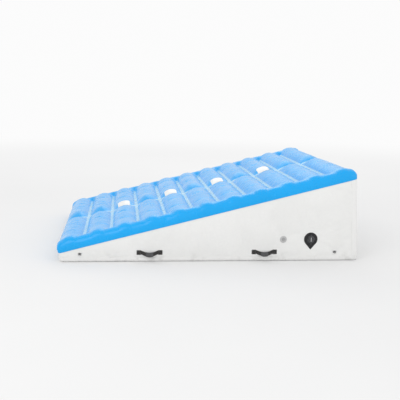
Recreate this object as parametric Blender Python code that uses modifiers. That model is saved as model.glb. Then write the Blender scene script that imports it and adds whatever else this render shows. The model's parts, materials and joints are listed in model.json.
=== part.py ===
"""Air-filled wedge springboard: a take-off incline with a quilted deck, held in shape by tie webs inside it.

Metres, +Z up. The origin is under the middle of the base. +X runs from the low nose to the high rear, and
the two valves are on the -Y wall. Every object is one closed piece and is named as the part that it is.
"""

import math

import bmesh
import bpy
from mathutils import Matrix, Vector

# The wedge
LENGTH = 2.42
WIDTH = 1.90
NOSE_HEIGHT = 0.10
REAR_HEIGHT = 0.70
NOSE_LEAN = 0.02  # the nose lip stands this far in front of its foot
REAR_LEAN = 0.04  # the rear seam stands this far in front of the rear foot
FOOT_HEIGHT = 0.04  # the walls are upright up to here
SKIN = 0.002
GAP = 0.0003  # between two pieces that are welded or rest on each other

# The quilted deck
PILLOWS = 11
PILLOW_STEPS = 4
CROWN = 0.048  # height of the pillows above the plane of the seams
VALLEY = 0.012  # height of the valleys above that plane
MARGIN = 0.16  # the tie webs stop this far from the side walls
ROW_LINES = (0, 0.05, 0.12, 0.40, 0.79, 0.835, 0.88, 0.92, 0.938, 0.95)
PINCH = 0.12  # a pillow narrows to the centre valley over this distance
ROLL = 0.07  # width of the rolled edge along the walls
MARGIN_ARCH = 0.75  # the margin is at least this share of the pillows' height above the valleys
PATCHED_PILLOWS = (2, 4, 6, 8)
PATCH_SKIN = 0.001

# Tie webs
WEB = 0.0015
FLANGE = 0.040
SLOT = 0.0035
CENTRE_WEB_INSET = 0.09  # from the nose and from the rear

# Seam tapes
TAPE = 0.0012
TAPE_HEIGHT = 0.036
TAPE_LEG = 0.040

# Carrying handles: distances from the middle of the wedge, and outwards from the wall
HANDLE_XS = {"front": -0.483, "rear": 0.435}
HANDLE_Z = 0.092
HANDLE_PATCH = (0.250, 0.062)
HANDLE_PATCH_SKIN = 0.0012
HANDLE_TABS = (0.067, 0.102)  # from the handle's middle to a tab's inner and outer edge
HANDLE_TAB_THICKNESS = 0.0045
STRAP_SPAN = 0.133
STRAP_WIDTH = 0.030
STRAP_THICKNESS = 0.0025
STRAP_SAG = 0.016
STRAP_BOW = 0.020
STRAP_ROUNDNESS = 1.2  # of the curve that the strap hangs in: 1 is a parabola
STRAP_CLEARANCE = 0.0005  # between the strap's ends and the patch behind them
STRAP_AXIS_OUT = HANDLE_PATCH_SKIN + GAP + STRAP_CLEARANCE + STRAP_THICKNESS / 2

# Anchor rings
RING_PLACES = {"front": (-1.03, 0.0625), "rear": (1.01, 0.0700)}
RING_PATCH_RADIUS = 0.024
RING_PATCH_SKIN = 0.0012
RING_WIRE = 0.002
RING_HALF_WIDTH = 0.014
RING_DROP = 0.020
RING_SHOULDER = 0.003  # the ring's two straight sides, below its bar
RING_AXIS_UP = 0.010
RING_AXIS_OUT = 0.0042
KEEPER_WIDTH = 0.018
KEEPER_BORE = 0.0024
KEEPER_OUTSIDE = 0.0036
KEEPER_FOOT = GAP + RING_PATCH_SKIN / 2  # the keeper's foot is sunk to the middle of its patch

# Inflation valve
VALVE_X = 0.81
VALVE_Z = 0.178
VALVE_HOLE = 0.0240
VALVE_TUBE = 0.0234
VALVE_MOUTH = 0.0190
VALVE_PATCH_RADIUS = 0.055
VALVE_PATCH_TAIL = 0.088
VALVE_RIM_OUT = 0.0095
CAP_RADIUS = 0.027
CAP_AXIS_UP = 0.0365
CAP_AXIS_OUT = 0.0090
KNUCKLE = 0.0016
GUIDE_IN = 0.0204  # the outer face of the stem guide, behind the wall's outer face

# Relief valve
RELIEF_X = 0.586
RELIEF_Z = 0.178
RELIEF_HOLE = 0.0180
RELIEF_TUBE = 0.0176
RELIEF_BORE = 0.0138

HALF = LENGTH / 2
SIDE = WIDTH / 2
NOSE_FOOT_X = -HALF + NOSE_LEAN
REAR_SEAM_X = HALF - REAR_LEAN
NOSE_SEAM = Vector((-HALF, 0, NOSE_HEIGHT))
REAR_SEAM = Vector((REAR_SEAM_X, 0, REAR_HEIGHT))
SLOPE_LENGTH = (REAR_SEAM - NOSE_SEAM).length
UP_SLOPE = (REAR_SEAM - NOSE_SEAM).normalized()
DECK_NORMAL = Vector((-UP_SLOPE.z, 0, UP_SLOPE.x))
SLOPE = UP_SLOPE.z / UP_SLOPE.x
PITCH = SLOPE_LENGTH / PILLOWS
FLOOR_TOP = SKIN + GAP
UPRIGHT = Matrix.Rotation(math.radians(90), 4, "X")  # drawing plane XY becomes XZ, its +Z points to -Y


# Scene, materials and making of pieces

def clear_scene():
    for obj in list(bpy.data.objects):
        bpy.data.objects.remove(obj, do_unlink=True)


def collection(name):
    made = bpy.data.collections.new(name)
    bpy.context.scene.collection.children.link(made)
    return made


def paint(name, colour, roughness, metallic=0.0):
    material = bpy.data.materials.new(name)
    material.use_nodes = True
    shader = material.node_tree.nodes["Principled BSDF"]
    shader.inputs["Base Color"].default_value = (*colour, 1)
    shader.inputs["Roughness"].default_value = roughness
    shader.inputs["Metallic"].default_value = metallic
    return material


def add_piece(name, data, material, matrix=None):
    obj = bpy.data.objects.new(name, data)
    obj.data.materials.append(material)
    obj.matrix_world = matrix or Matrix()
    PIECES.objects.link(obj)
    return obj


def make_tool(obj):
    """Turns an object into a hidden tool for Booleans."""
    PIECES.objects.unlink(obj)
    TOOLS.objects.link(obj)
    obj.hide_render = True
    obj.display_type = "WIRE"
    return obj


def as_mesh(obj):
    """Replaces a curve object by the same shape as a mesh, with its caps welded on."""
    bpy.context.view_layer.update()
    graph = bpy.context.evaluated_depsgraph_get()
    mesh = bpy.data.meshes.new_from_object(obj.evaluated_get(graph))
    bm = bmesh.new()
    bm.from_mesh(mesh)
    bmesh.ops.remove_doubles(bm, verts=bm.verts, dist=1e-6)
    bm.to_mesh(mesh)
    bm.free()
    name, matrix = obj.name, obj.matrix_world.copy()
    bpy.data.objects.remove(obj, do_unlink=True)
    made = bpy.data.objects.new(name, mesh)
    made.matrix_world = matrix
    PIECES.objects.link(made)
    return made


def move_origin(obj, frame, place):
    """Stands a piece drawn in a frame in that frame, with its origin on a joint's axis."""
    shift = Matrix.Translation(place)
    obj.data.transform(shift.inverted())
    obj.matrix_world = frame @ shift


def boolean(obj, tool, operation):
    modifier = obj.modifiers.new(operation.title(), "BOOLEAN")
    modifier.operation = operation
    modifier.object = tool
    modifier.solver = "EXACT"


def block(name, low, high, material, matrix=None):
    mesh = bpy.data.meshes.new(name)
    bm = bmesh.new()
    low, high = Vector(low), Vector(high)
    size = high - low
    place = Matrix.Translation((low + high) / 2) @ Matrix.Diagonal((*size, 1))
    bmesh.ops.create_cube(bm, size=1, matrix=place)
    bm.to_mesh(mesh)
    bm.free()
    return add_piece(name, mesh, material, matrix)


def cut_sheet(name, loops, low, high, material, matrix):
    """A flat outline, with its holes after it in loops, that reaches from low to high along its own Z."""
    curve = bpy.data.curves.new(name, "CURVE")
    curve.dimensions = "2D"
    curve.fill_mode = "BOTH"
    curve.extrude = (high - low) / 2
    for loop in loops:
        spline = curve.splines.new("POLY")
        spline.points.add(len(loop) - 1)
        for point, (x, y) in zip(spline.points, loop):
            point.co = (x, y, 0, 1)
        spline.use_cyclic_u = True
    middle = Matrix.Translation((0, 0, (low + high) / 2))
    return add_piece(name, curve, material, matrix @ middle)


def turned(name, profile, steps, material, matrix, ring=False):
    """A profile of (radius, height), down its outer side, turned round Z. A ring's profile is a loop."""
    mesh = bpy.data.meshes.new(name)
    edges = [(i, i + 1) for i in range(len(profile) - 1)]
    if ring:
        edges.append((len(profile) - 1, 0))
    mesh.from_pydata([(radius, 0, height) for radius, height in profile], edges, [])
    obj = add_piece(name, mesh, material, matrix)
    screw = obj.modifiers.new("Turn", "SCREW")
    screw.steps = steps
    screw.render_steps = steps
    screw.use_merge_vertices = True
    screw.merge_threshold = 0.00001
    return obj


def wire(name, points, radius, material, matrix, closed=False):
    curve = bpy.data.curves.new(name, "CURVE")
    curve.dimensions = "3D"
    curve.bevel_depth = radius
    curve.bevel_resolution = 2
    curve.use_fill_caps = not closed
    spline = curve.splines.new("POLY")
    spline.points.add(len(points) - 1)
    for point, place in zip(spline.points, points):
        point.co = (*place, 1)
    spline.use_cyclic_u = closed
    return add_piece(name, curve, material, matrix)


def circle(radius, count, x=0.0, y=0.0, start=0.0, sweep=2 * math.pi):
    """Points round a circle, or along an arc of it with both its ends."""
    steps = count if abs(sweep - 2 * math.pi) < 1e-9 else count - 1
    angles = [start + sweep * i / steps for i in range(count)]
    return [(x + radius * math.cos(a), y + radius * math.sin(a)) for a in angles]


def coil(radius, low, high, turns, points_a_turn=8):
    count = int(turns * points_a_turn) + 1
    places = []
    for i in range(count):
        angle = 2 * math.pi * i / points_a_turn
        height = low + (high - low) * i / (count - 1)
        places.append((radius * math.cos(angle), radius * math.sin(angle), height))
    return places


def wall_frame(side, x, z):
    """A frame on the outer face of a side wall: its Y is up and its Z points out. side is -1 near, 1 far."""
    turn = Matrix.Rotation(math.radians(180), 4, "Z") if side > 0 else Matrix()
    return Matrix.Translation((x, side * SIDE, z)) @ turn @ UPRIGHT


# The envelope

def seam_height(x):
    return NOSE_HEIGHT + SLOPE * (x + HALF)


def end_face(end, z):
    """Where the outer face of an end wall is at a height. end is -1 nose, 1 rear."""
    foot_x = HALF if end > 0 else NOSE_FOOT_X
    seam_x, seam_z = (REAR_SEAM_X, REAR_HEIGHT) if end > 0 else (-HALF, NOSE_HEIGHT)
    return foot_x + (seam_x - foot_x) * max(0, z - FOOT_HEIGHT) / (seam_z - FOOT_HEIGHT)


def deck_rise(along, y):
    """Height of the deck's upper face above the plane of the seams."""
    phase = along / PITCH % 1
    arch = 1 - (2 * phase - 1) ** 2
    pinch = 1 - (1 - min(1, abs(y) / PINCH)) ** 2
    quilted = VALLEY + (CROWN - VALLEY) * arch * pinch
    from_wall = SIDE - abs(y)
    tied = min(1, max(0, (from_wall - ROLL) / (MARGIN - ROLL)))
    smooth_edge = VALLEY + (CROWN - VALLEY) * max(MARGIN_ARCH, arch)
    rise = smooth_edge + (quilted - smooth_edge) * tied
    roll = math.sqrt(1 - (1 - min(1, from_wall / ROLL)) ** 2)
    to_end = min(along, SLOPE_LENGTH - along)
    end_roll = math.sqrt(1 - (1 - min(1, to_end / (PITCH / PILLOW_STEPS))) ** 2)
    return rise * roll * end_roll


def deck_surface():
    """The deck's upper face as a mesh of triangles."""
    lines = [-y for y in reversed(ROW_LINES[1:])] + list(ROW_LINES)
    columns = PILLOWS * PILLOW_STEPS
    rows = len(lines) - 1
    bm = bmesh.new()
    bmesh.ops.create_grid(bm, x_segments=columns, y_segments=rows, size=0.5)
    for vert in bm.verts:
        along = SLOPE_LENGTH * round((vert.co.x + 0.5) * columns) / columns
        y = lines[round((vert.co.y + 0.5) * rows)]
        place = NOSE_SEAM + UP_SLOPE * along + DECK_NORMAL * deck_rise(along, y)
        vert.co = (place.x, y, place.z)
    bmesh.ops.triangulate(bm, faces=bm.faces, quad_method="FIXED")
    return bm


def skin_from(name, bm, thickness, offset, material):
    mesh = bpy.data.meshes.new(name)
    bm.to_mesh(mesh)
    bm.free()
    obj = add_piece(name, mesh, material)
    solidify = obj.modifiers.new("Skin", "SOLIDIFY")
    solidify.thickness = thickness
    solidify.offset = offset
    return obj


def make_deck():
    skin_from("deck_panel", deck_surface(), SKIN, -1, AZURE)


def make_deck_patches():
    """White patches across the centre valley. Each follows the deck's own facets, a gap above them."""
    for number, pillow in enumerate(PATCHED_PILLOWS, start=1):
        low = (pillow + 1 / PILLOW_STEPS) * PITCH
        high = (pillow + 1 - 1 / PILLOW_STEPS) * PITCH
        bm = deck_surface()
        outside = []
        for face in bm.faces:
            middle = face.calc_center_median()
            along = (middle - NOSE_SEAM).dot(UP_SLOPE)
            if not low < along < high or abs(middle.y) > PINCH:
                outside.append(face)
        bmesh.ops.delete(bm, geom=outside, context="FACES")
        bmesh.ops.translate(bm, verts=bm.verts, vec=DECK_NORMAL * 2 * GAP)
        skin_from(f"deck_patch_{number}", bm, PATCH_SKIN, 1, PATCH_WHITE)


def make_base():
    block("base_panel", (NOSE_FOOT_X, -SIDE, 0), (HALF, SIDE, SKIN), BASE_GREY)


def make_side_walls():
    top = (SKIN + GAP) / UP_SLOPE.x
    rear_top, nose_top = REAR_HEIGHT - top, NOSE_HEIGHT - top
    outline = [
        (NOSE_FOOT_X, FLOOR_TOP),
        (HALF, FLOOR_TOP),
        (HALF, FOOT_HEIGHT),
        (end_face(1, rear_top), rear_top),
        (end_face(-1, nose_top), nose_top),
        (NOSE_FOOT_X, FOOT_HEIGHT),
    ]
    holes = [
        circle(VALVE_HOLE, 24, VALVE_X, VALVE_Z),
        circle(RELIEF_HOLE, 20, RELIEF_X, RELIEF_Z),
    ]
    cut_sheet("near_side_wall", [outline, *holes], SIDE - SKIN, SIDE, WALL_WHITE, UPRIGHT)
    cut_sheet("far_side_wall", [outline], -SIDE, -SIDE + SKIN, WALL_WHITE, UPRIGHT)


def make_end_wall(name, end, seam_z):
    """A wall across the nose or the rear, between the side walls: upright at its foot, and leaning above."""
    reach = SIDE - SKIN - GAP
    heights = (FLOOR_TOP, FOOT_HEIGHT, seam_z - 2 * (SKIN + GAP))
    outer = [(end_face(end, z), z) for z in heights]
    inner = [(x - end * SKIN, z) for x, z in reversed(outer)]
    cut_sheet(name, [outer + inner], -reach, reach, WALL_WHITE, UPRIGHT)


# Seam tapes

def make_base_tape():
    def rectangle(margin):
        low_x, high_x, y = NOSE_FOOT_X - margin, HALF + margin, SIDE + margin
        return [(low_x, -y), (high_x, -y), (high_x, y), (low_x, y)]

    loops = [rectangle(GAP + TAPE), rectangle(GAP)]
    cut_sheet("base_seam_tape", loops, 2 * GAP, TAPE_HEIGHT, WALL_WHITE, Matrix())


def make_corner_tape(name, side, end):
    """An angle of tape up the outside of a corner, leaning with the end wall. end is -1 nose, 1 rear."""
    inner, outer = GAP, GAP + TAPE
    foot_x = end_face(end, 0)
    outline = [
        (foot_x - end * TAPE_LEG, side * (SIDE + inner)),
        (foot_x - end * TAPE_LEG, side * (SIDE + outer)),
        (foot_x + end * outer, side * (SIDE + outer)),
        (foot_x + end * outer, side * (SIDE - TAPE_LEG)),
        (foot_x + end * inner, side * (SIDE - TAPE_LEG)),
        (foot_x + end * inner, side * (SIDE + inner)),
    ]
    tape = as_mesh(cut_sheet(name, [outline], -0.5, 0.5, WALL_WHITE, Matrix()))
    seam_x, seam_z = (REAR_SEAM_X, REAR_HEIGHT) if end > 0 else (-HALF, NOSE_HEIGHT)
    for vert in tape.data.vertices:
        z = FOOT_HEIGHT
        if vert.co.z > 0:
            # The upper end follows the slope of the seam.
            z = seam_z + SLOPE * (vert.co.x - foot_x) - 2 * SKIN
        vert.co.x += end_face(end, z) - foot_x
        vert.co.z = z


def make_tapes():
    make_base_tape()
    for side, side_name in ((-1, "near"), (1, "far")):
        make_corner_tape(f"{side_name}_nose_corner_tape", side, -1)
        make_corner_tape(f"{side_name}_rear_corner_tape", side, 1)


# Tie webs

def web_top(number):
    """The point under the valley that a tie web is welded to."""
    return NOSE_SEAM + UP_SLOPE * PITCH * number + DECK_NORMAL * (VALLEY - SKIN - 2 * GAP)


def web_middle(number):
    """The height at which a tie web and the centre web slot into each other."""
    return (FLOOR_TOP + web_top(number).z) / 2


def make_tie_web(number):
    """A sheet across the wedge with a weld flange along its foot and another along the deck."""
    top = web_top(number)
    reach = SIDE - MARGIN
    half_web, half_flange = WEB / 2, FLANGE / 2
    under = top.z - WEB / UP_SLOPE.x
    down = DECK_NORMAL * WEB
    high_end, low_end = top + UP_SLOPE * half_flange, top - UP_SLOPE * half_flange
    outline = [
        (top.x - half_flange, FLOOR_TOP),
        (top.x + half_flange, FLOOR_TOP),
        (top.x + half_flange, FLOOR_TOP + WEB),
        (top.x + half_web, FLOOR_TOP + WEB),
        (top.x + half_web, under + SLOPE * half_web),
        (high_end.x - down.x, high_end.z - down.z),
        (high_end.x, high_end.z),
        (low_end.x, low_end.z),
        (low_end.x - down.x, low_end.z - down.z),
        (top.x - half_web, under - SLOPE * half_web),
        (top.x - half_web, FLOOR_TOP + WEB),
        (top.x - half_flange, FLOOR_TOP + WEB),
    ]
    web = as_mesh(cut_sheet(f"tie_web_{number:02d}", [outline], -reach, reach, WEB_CLOTH, UPRIGHT))
    low = (top.x - FLANGE, -SLOT / 2, web_middle(number))
    high = (top.x + FLANGE, SLOT / 2, top.z + FLANGE)
    boolean(web, make_tool(block(f"slot_{number:02d}", low, high, WEB_CLOTH)), "DIFFERENCE")


def make_centre_web():
    """The lengthwise web, slotted from below over each tie web and clear of its foot flange."""
    start_x, end_x = -HALF + CENTRE_WEB_INSET, REAR_SEAM_X - CENTRE_WEB_INSET
    drop = web_top(0).z - NOSE_HEIGHT
    outline = [(start_x, FLOOR_TOP)]
    for number in range(1, PILLOWS):
        x = web_top(number).x
        foot = FLANGE / 2 + 2 * GAP
        above_foot = FLOOR_TOP + WEB + 2 * GAP
        slot_top = web_middle(number) + 2 * GAP
        outline += [(x - foot, FLOOR_TOP), (x - foot, above_foot), (x - SLOT / 2, above_foot)]
        outline += [(x - SLOT / 2, slot_top), (x + SLOT / 2, slot_top)]
        outline += [(x + SLOT / 2, above_foot), (x + foot, above_foot), (x + foot, FLOOR_TOP)]
    outline.append((end_x, FLOOR_TOP))
    outline.append((end_x, seam_height(end_x) + drop))
    outline.append((start_x, seam_height(start_x) + drop))
    cut_sheet("centre_web", [outline], -WEB / 2, WEB / 2, WEB_CLOTH, UPRIGHT)


# Handles and anchor rings

def make_handle(name, side, x):
    frame = wall_frame(side, x, HANDLE_Z)
    half_length, height = HANDLE_PATCH[0] / 2, HANDLE_PATCH[1]
    inner, outer = HANDLE_TABS
    chamfer = 0.002
    low, high = GAP, GAP + HANDLE_PATCH_SKIN
    tab = GAP + HANDLE_TAB_THICKNESS
    # Seen from above: a plate with a thicker tab near each end, where an end of the strap is sewn down.
    right = [
        (half_length, low),
        (half_length, high),
        (outer, high),
        (outer - chamfer, tab),
        (inner, tab),
        (inner, high),
    ]
    section = right + [(-x, out) for x, out in reversed(right)]
    # The section is drawn along the wall and outwards, and it is extruded down the wall.
    drawn = Matrix.Rotation(math.radians(90), 4, "X")
    top = (HANDLE_PATCH[1] - STRAP_WIDTH - STRAP_SAG) / 2
    cut_sheet(f"{name}_patch", [section], -top, height - top, PATCH_WHITE, frame @ drawn)

    bm = bmesh.new()
    columns, rows = 14, 2
    bmesh.ops.create_grid(bm, x_segments=columns, y_segments=rows, size=0.5)
    for vert in bm.verts:
        across = 2 * vert.co.x
        down = 0.5 - vert.co.y
        hang = (1 - across**2) ** STRAP_ROUNDNESS
        vert.co = (
            across * STRAP_SPAN / 2,
            -STRAP_SAG * hang - STRAP_WIDTH * down,
            STRAP_AXIS_OUT + STRAP_BOW * hang,
        )
    # The strap's origin is on the line through its two sewn ends, about which it lifts.
    strap = skin_from(f"{name}_strap", bm, STRAP_THICKNESS, 0, WEBBING)
    move_origin(strap, frame, (0, 0, STRAP_AXIS_OUT))


def make_anchor(name, side, x, z):
    frame = wall_frame(side, x, z)
    low, high = GAP, GAP + RING_PATCH_SKIN
    disc = cut_sheet(f"{name}_patch", [circle(RING_PATCH_RADIUS, 20)], low, high, PATCH_WHITE, frame)
    disc = as_mesh(disc)
    # The keeper is a strip folded round the ring's straight bar, drawn as its side view and extruded across.
    right_angle = math.radians(90)
    arch = circle(KEEPER_OUTSIDE, 7, RING_AXIS_OUT, 0, -right_angle, 2 * right_angle)
    outline = [(KEEPER_FOOT, -KEEPER_OUTSIDE), *arch, (KEEPER_FOOT, KEEPER_OUTSIDE)]
    side_view = Matrix(((0, 0, 1, 0), (0, 1, 0, RING_AXIS_UP), (1, 0, 0, 0), (0, 0, 0, 1)))
    flipped = side_view @ Matrix.Diagonal((1, -1, 1, 1))
    bore = circle(KEEPER_BORE, 10, RING_AXIS_OUT, 0)
    loops = [outline, bore]
    half = KEEPER_WIDTH / 2
    keeper = cut_sheet(f"{name}_keeper", loops, -half, half, PATCH_WHITE, frame @ flipped)
    boolean(disc, make_tool(as_mesh(keeper)), "UNION")

    # The ring hangs from its bar, and its origin is on the bar's axis.
    points = [(-RING_HALF_WIDTH + RING_WIRE, 0, 0), (RING_HALF_WIDTH - RING_WIRE, 0, 0)]
    bow_depth = RING_DROP - RING_SHOULDER
    for px, py in circle(RING_HALF_WIDTH, 9, 0, 0, 0, -math.pi):
        points.append((px, py * bow_depth / RING_HALF_WIDTH - RING_SHOULDER, 0))
    on_axis = Matrix.Translation((0, RING_AXIS_UP, RING_AXIS_OUT))
    wire(f"{name}_ring", points, RING_WIRE, STEEL, frame @ on_axis, closed=True)


def make_fittings():
    for side, side_name in ((-1, "near"), (1, "far")):
        for place, x in HANDLE_XS.items():
            make_handle(f"{side_name}_{place}_handle", side, x)
        for place, (x, z) in RING_PLACES.items():
            make_anchor(f"{side_name}_{place}_anchor", side, x, z)


# Inflation valve: heights are outwards from the wall's outer face, so what is inside the wedge is negative

def make_valve_patch(frame):
    """A teardrop: a circle that runs into a tail by its two tangents."""
    half_angle = math.acos(VALVE_PATCH_RADIUS / VALVE_PATCH_TAIL)
    start = -math.pi / 2 + half_angle
    round_part = circle(VALVE_PATCH_RADIUS, 24, 0, 0, start, 2 * (math.pi - half_angle))
    outline = [*round_part, (0, -VALVE_PATCH_TAIL)]
    hole = circle(VALVE_HOLE + GAP, 24)
    cut_sheet("valve_patch", [outline, hole], GAP, GAP + TAPE, VALVE_BLACK, frame)


def make_valve_body(frame):
    flange_out, flange = 0.0055, 0.031
    flange_in = 2 * GAP + TAPE
    guide_step = -GUIDE_IN - 0.0033
    seat, seat_lip = -0.036, 0.012
    profile = [
        (VALVE_TUBE, VALVE_RIM_OUT),
        (VALVE_TUBE, flange_out),
        (flange - 0.001, flange_out),
        (flange, flange_out - 0.001),
        (flange, flange_in),
        (VALVE_TUBE, flange_in),
        (VALVE_TUBE, seat),
        (seat_lip, seat),
        (seat_lip, seat + 0.003),
        (VALVE_MOUTH - 0.0015, seat + 0.003),
        (VALVE_MOUTH - 0.0015, guide_step),
        (VALVE_MOUTH, guide_step),
        (VALVE_MOUTH, VALVE_RIM_OUT),
    ]
    turned("valve_body", profile, 24, VALVE_DARK, frame, ring=True)


def make_clamp_nut(name, inner, outer, height, steps, frame):
    """The ring that clamps a valve body to the inside of the wall."""
    top = -SKIN - GAP
    profile = [(outer, top), (outer, top - height), (inner, top - height), (inner, top)]
    turned(name, profile, steps, VALVE_DARK, frame, ring=True)


def make_valve_guide(frame):
    """A three-armed plate in the valve's throat that the stem slides through."""
    hub, arm, reach = 0.0055, 0.0022, VALVE_MOUTH - GAP
    outline = []
    for number in range(3):
        along = 2 * math.pi * number / 3
        edge = math.asin(arm / reach)
        root = math.asin(arm / hub)
        for radius, angle in ((hub, -root), (reach, -edge), (reach, edge), (hub, root)):
            outline.append((radius * math.cos(along + angle), radius * math.sin(along + angle)))
    hole = circle(0.0030, 12)
    cut_sheet("valve_guide", [outline, hole], -GUIDE_IN - 0.003, -GUIDE_IN, VALVE_DARK, frame)


def make_valve_plunger(frame):
    """Push button, stem and the end flange that carries the seal."""
    stem, button, end = 0.0025, 0.008, 0.008
    profile = [
        (0, 0),
        (button - 0.001, 0),
        (button, -0.001),
        (button, -0.004),
        (stem, -0.004),
        (stem, -0.0391),
        (end, -0.0391),
        (end, -0.0411),
        (0, -0.0411),
    ]
    turned("valve_plunger", profile, 16, VALVE_DARK, frame)
    seal_top, seal_bottom = -0.0363, -0.0388
    bore, rim = stem + GAP, 0.015
    profile = [(rim, seal_top), (rim, seal_bottom), (bore, seal_bottom), (bore, seal_top)]
    turned("valve_seal", profile, 16, RUBBER, frame, ring=True)


def make_valve_spring(frame):
    spring_wire = 0.0004
    low, high = -GUIDE_IN + spring_wire + GAP, -0.004 - spring_wire - GAP
    wire("valve_spring", coil(0.0055, low, high, 4), spring_wire, SPRING_STEEL, frame)


def make_valve_tether(frame):
    """A ring round the valve's neck with a tab that runs up to the cap's hinge line."""
    ring, tab, tab_top = 0.0275, 0.006, CAP_AXIS_UP - KNUCKLE - GAP
    edge = math.asin(tab / ring)
    start = math.pi / 2 + edge
    outline = circle(ring, 24, 0, 0, start, 2 * (math.pi - edge))
    outline += [(tab, tab_top), (-tab, tab_top)]
    hole = circle(VALVE_TUBE + GAP, 24)
    cut_sheet("valve_cap_tether", [outline, hole], 0.0058, 0.0082, VALVE_DARK, frame)


def make_valve_cap(frame):
    """A domed lid with a finger bar and a pointed pull tab. Its origin is on the hinge above the valve."""
    face = VALVE_RIM_OUT + GAP
    profile = [
        (0, face + 0.0047),
        (0.016, face + 0.0042),
        (CAP_RADIUS - 0.002, face + 0.0024),
        (CAP_RADIUS, face + 0.0010),
        (CAP_RADIUS, face),
        (0, face),
    ]
    cap = turned("valve_cap", profile, 24, VALVE_DARK, frame)
    hinge_tab = 0.006
    low = (-hinge_tab, CAP_RADIUS - 0.003, face)
    high = (hinge_tab, CAP_AXIS_UP, face + 0.0020)
    boolean(cap, make_tool(block("cap_hinge_tab", low, high, VALVE_DARK, frame)), "UNION")
    across = Matrix.Translation((0, CAP_AXIS_UP, CAP_AXIS_OUT)) @ Matrix.Rotation(math.pi / 2, 4, "Y")
    knuckle = cut_sheet(
        "cap_knuckle", [circle(KNUCKLE, 12)], -hinge_tab, hinge_tab, VALVE_DARK, frame @ across
    )
    boolean(cap, make_tool(as_mesh(knuckle)), "UNION")
    pull = [(-0.009, -0.022), (-0.004, -0.040), (0, -0.044), (0.004, -0.040), (0.009, -0.022)]
    tab = cut_sheet("cap_pull_tab", [pull], face + 0.0003, face + 0.0020, VALVE_DARK, frame)
    boolean(cap, make_tool(as_mesh(tab)), "UNION")
    bar_half, bar_reach = 0.0028, 0.017
    low = (-bar_half, -bar_reach, face + 0.0020)
    high = (bar_half, bar_reach, face + 0.0075)
    boolean(cap, make_tool(block("cap_finger_bar", low, high, VALVE_DARK, frame)), "UNION")
    move_origin(as_mesh(cap), frame, (0, CAP_AXIS_UP, CAP_AXIS_OUT))


def make_inflation_valve():
    frame = wall_frame(-1, VALVE_X, VALVE_Z)
    make_valve_patch(frame)
    make_valve_body(frame)
    make_clamp_nut("valve_clamp_nut", VALVE_TUBE + GAP, 0.032, 0.006, 24, frame)
    make_valve_guide(frame)
    make_valve_plunger(frame)
    make_valve_spring(frame)
    make_valve_tether(frame)
    make_valve_cap(frame)


# Relief valve: heights as in the inflation valve

def make_relief_body(frame):
    flange, flange_out = 0.028, 0.0043
    cover_bore, step = 0.0150, -0.0007
    seat, seat_lip = -0.024, 0.010
    profile = [
        (0.024, flange_out),
        (flange, flange_out - 0.0025),
        (flange, GAP),
        (RELIEF_TUBE, GAP),
        (RELIEF_TUBE, seat),
        (seat_lip, seat),
        (seat_lip, seat + 0.004),
        (RELIEF_BORE, seat + 0.004),
        (RELIEF_BORE, step),
        (cover_bore, step),
        (cover_bore, flange_out),
    ]
    turned("relief_body", profile, 20, VALVE_GREY, frame, ring=True)


def make_relief_cover(frame):
    """A grille in the valve's mouth. Its middle hole guides the poppet's stem."""
    holes = [circle(0.0024, 10)]
    for number in range(6):
        angle = math.pi * number / 3
        holes.append(circle(0.0028, 8, 0.0092 * math.cos(angle), 0.0092 * math.sin(angle)))
    rim = circle(0.0150 - GAP, 20)
    cut_sheet("relief_cover", [rim, *holes], -0.0004, 0.0030, VALVE_GREY, frame)


def make_relief_poppet(frame):
    stem, disc = 0.0019, 0.0130
    profile = [
        (0, 0.0010),
        (stem, 0.0010),
        (stem, -0.0170),
        (disc, -0.0170),
        (disc, -0.0197),
        (0, -0.0197),
    ]
    turned("relief_poppet", profile, 16, VALVE_DARK, frame)


def make_relief_valve():
    frame = wall_frame(-1, RELIEF_X, RELIEF_Z)
    make_relief_body(frame)
    make_clamp_nut("relief_clamp_nut", RELIEF_TUBE + GAP, 0.025, 0.005, 20, frame)
    make_relief_cover(frame)
    make_relief_poppet(frame)
    spring_wire = 0.0004
    low, high = -0.0170 + spring_wire + GAP, -0.0004 - spring_wire - GAP
    wire("relief_spring", coil(0.0050, low, high, 4), spring_wire, SPRING_STEEL, frame)


clear_scene()
PIECES = collection("wedge_springboard")
TOOLS = collection("tools")
AZURE = paint("azure PVC", (0.06, 0.42, 0.86), 0.30)
WALL_WHITE = paint("white PVC", (0.84, 0.84, 0.83), 0.38)
PATCH_WHITE = paint("patch PVC", (0.80, 0.80, 0.79), 0.42)
BASE_GREY = paint("base PVC", (0.72, 0.73, 0.74), 0.50)
WEB_CLOTH = paint("web cloth", (0.78, 0.78, 0.76), 0.70)
WEBBING = paint("black webbing", (0.045, 0.040, 0.040), 0.75)
STEEL = paint("steel", (0.55, 0.55, 0.54), 0.28, 1.0)
SPRING_STEEL = paint("spring steel", (0.50, 0.50, 0.49), 0.35, 1.0)
VALVE_BLACK = paint("black PVC", (0.030, 0.030, 0.032), 0.45)
VALVE_DARK = paint("dark moulded plastic", (0.055, 0.057, 0.062), 0.40)
VALVE_GREY = paint("grey moulded plastic", (0.62, 0.62, 0.62), 0.42)
RUBBER = paint("rubber", (0.020, 0.020, 0.020), 0.80)

make_base()
make_side_walls()
make_end_wall("rear_wall", 1, REAR_HEIGHT)
make_end_wall("nose_wall", -1, NOSE_HEIGHT)
make_deck()
make_deck_patches()
make_tapes()
for web_number in range(1, PILLOWS):
    make_tie_web(web_number)
make_centre_web()
make_fittings()
make_inflation_valve()
make_relief_valve()
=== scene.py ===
"""Looks of the air-filled wedge springboard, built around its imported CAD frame.

Metres, +Z up. +X runs from the low nose to the high rear, and the two valves are on the -Y wall. The deck
and the walls are sheets that a cloth simulation inflates between their seams, welds and fittings.
"""

import json
import math

import bmesh
import bpy
import numpy as np
from mathutils import Matrix, Vector
from mathutils.bvhtree import BVHTree


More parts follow.
